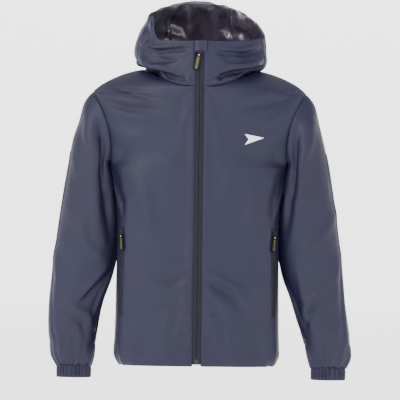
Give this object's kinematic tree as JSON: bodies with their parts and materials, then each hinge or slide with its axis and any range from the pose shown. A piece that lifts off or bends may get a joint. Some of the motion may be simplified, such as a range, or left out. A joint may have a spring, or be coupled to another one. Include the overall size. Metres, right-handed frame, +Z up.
{
  "type": "foul weather jacket",
  "caption": "Hooded waterproof jacket with a full-length front zip, two zipped side pockets, elastic cuffs and hem, and sleeves that swing at the shoulder.",
  "frame": {"origin": "the hanger loop at the centre of the back neck, where a coat hook holds the jacket", "axes": "+Z up, the front faces -Y, +X towards the wearer's left"},
  "size_m": [0.712, 0.2694, 0.886],
  "materials": {
    "shell_fabric": "satin, fine plain weave, coated inside",
    "elastic": "matt, ribbed along its length",
    "seam_tape": "glossy ironed-on film",
    "zip_tape": "matt, herringbone weave",
    "zip_coil": "satin nylon",
    "zip_hardware": "satin black enamel",
    "puller_tab": "matt moulded rubber with an olive yellow inset",
    "chest_print": "satin printed film",
    "pocket_lining": "matt warp knit",
    "hanger_tape": "matt woven tape"
  },
  "bodies": {
    "jacket": {"back_panel": "shell_fabric", "chest_emblem": "chest_print", "chin_panel_left": "shell_fabric", "chin_panel_right": "shell_fabric", "front_panel_left": "shell_fabric", "front_panel_right": "shell_fabric", "hanger_loop": "hanger_tape", "hem_elastic_left": "elastic", "hem_elastic_right": "elastic", "hem_facing_back": "shell_fabric", "hem_facing_left": "shell_fabric", "hem_facing_right": "shell_fabric", "main_zip_coil_left": "zip_coil", "main_zip_coil_right": "zip_coil", "main_zip_insertion_pin": "zip_hardware", "main_zip_retainer_box": "zip_hardware", "main_zip_tape_left": "zip_tape", "main_zip_tape_right": "zip_tape", "main_zip_top_stop_left": "zip_hardware", "main_zip_top_stop_right": "zip_hardware", "pocket_bag_left": "pocket_lining", "pocket_bag_right": "pocket_lining", "pocket_left_bottom_stop": "zip_hardware", "pocket_left_coil_front": "zip_coil", "pocket_left_coil_rear": "zip_coil", "pocket_left_tape_front": "zip_tape", "pocket_left_tape_rear": "zip_tape", "pocket_right_bottom_stop": "zip_hardware", "pocket_right_coil_front": "zip_coil", "pocket_right_coil_rear": "zip_coil", "pocket_right_tape_front": "zip_tape", "pocket_right_tape_rear": "zip_tape", "shoulder_seam_tape_left": "seam_tape", "shoulder_seam_tape_right": "seam_tape", "side_seam_tape_left": "seam_tape", "side_seam_tape_right": "seam_tape", "storm_flap": "shell_fabric", "zip_garage": "shell_fabric"},
    "hood": {"hood_gusset": "shell_fabric", "hood_side_left": "shell_fabric", "hood_side_right": "shell_fabric"},
    "sleeve_left": {"cuff_elastic_left": "elastic", "cuff_left": "shell_fabric", "sleeve_left": "shell_fabric"},
    "sleeve_right": {"cuff_elastic_right": "elastic", "cuff_right": "shell_fabric", "sleeve_right": "shell_fabric"},
    "main_zip_slider": {"main_zip_slider": "zip_hardware"},
    "main_zip_puller": {"main_zip_puller_link": "zip_hardware", "main_zip_puller_tab": "puller_tab"},
    "pocket_left_slider": {"pocket_left_slider": "zip_hardware"},
    "pocket_left_puller": {"pocket_left_puller_link": "zip_hardware", "pocket_left_puller_tab": "puller_tab"},
    "pocket_right_slider": {"pocket_right_slider": "zip_hardware"},
    "pocket_right_puller": {"pocket_right_puller_link": "zip_hardware", "pocket_right_puller_tab": "puller_tab"}
  },
  "joints": [
    {"name": "hood_tilt", "type": "hinge", "parent": "jacket", "child": "hood", "pos_m": [0, 0.008, 0.01], "axis": [-1, 0, 0], "range_deg": [0, 12]},
    {"name": "sleeve_left_swing", "type": "hinge", "parent": "jacket", "child": "sleeve_left", "pos_m": [0.251, -0.062, -0.058], "axis": [0, -1, 0], "range_deg": [0, 40]},
    {"name": "sleeve_right_swing", "type": "hinge", "parent": "jacket", "child": "sleeve_right", "pos_m": [-0.251, -0.062, -0.058], "axis": [0, 1, 0], "range_deg": [0, 40]},
    {"name": "main_zip_slide", "type": "slide", "parent": "jacket", "child": "main_zip_slider", "axis": [0, -0.0609, -0.9981], "range_m": [0, 0.712]},
    {"name": "main_zip_puller_swing", "type": "hinge", "parent": "main_zip_slider", "child": "main_zip_puller", "pos_m": [0, -0.1495, 0.03624], "axis": [-1, 0, 0], "range_deg": [0, 150]},
    {"name": "pocket_left_slide", "type": "slide", "parent": "jacket", "child": "pocket_left_slider", "axis": [0.0078, -0.0484, -0.9988], "range_m": [0, 0.182]},
    {"name": "pocket_left_puller_swing", "type": "hinge", "parent": "pocket_left_slider", "child": "pocket_left_puller", "pos_m": [0.17995, -0.14339, -0.38989], "axis": [-0.5976, -0.8011, 0.0342], "range_deg": [0, 150]},
    {"name": "pocket_right_slide", "type": "slide", "parent": "jacket", "child": "pocket_right_slider", "axis": [-0.0078, -0.0484, -0.9988], "range_m": [0, 0.182]},
    {"name": "pocket_right_puller_swing", "type": "hinge", "parent": "pocket_right_slider", "child": "pocket_right_puller", "pos_m": [-0.17995, -0.14339, -0.38989], "axis": [-0.5976, 0.8011, -0.0342], "range_deg": [0, 150]}
  ]
}
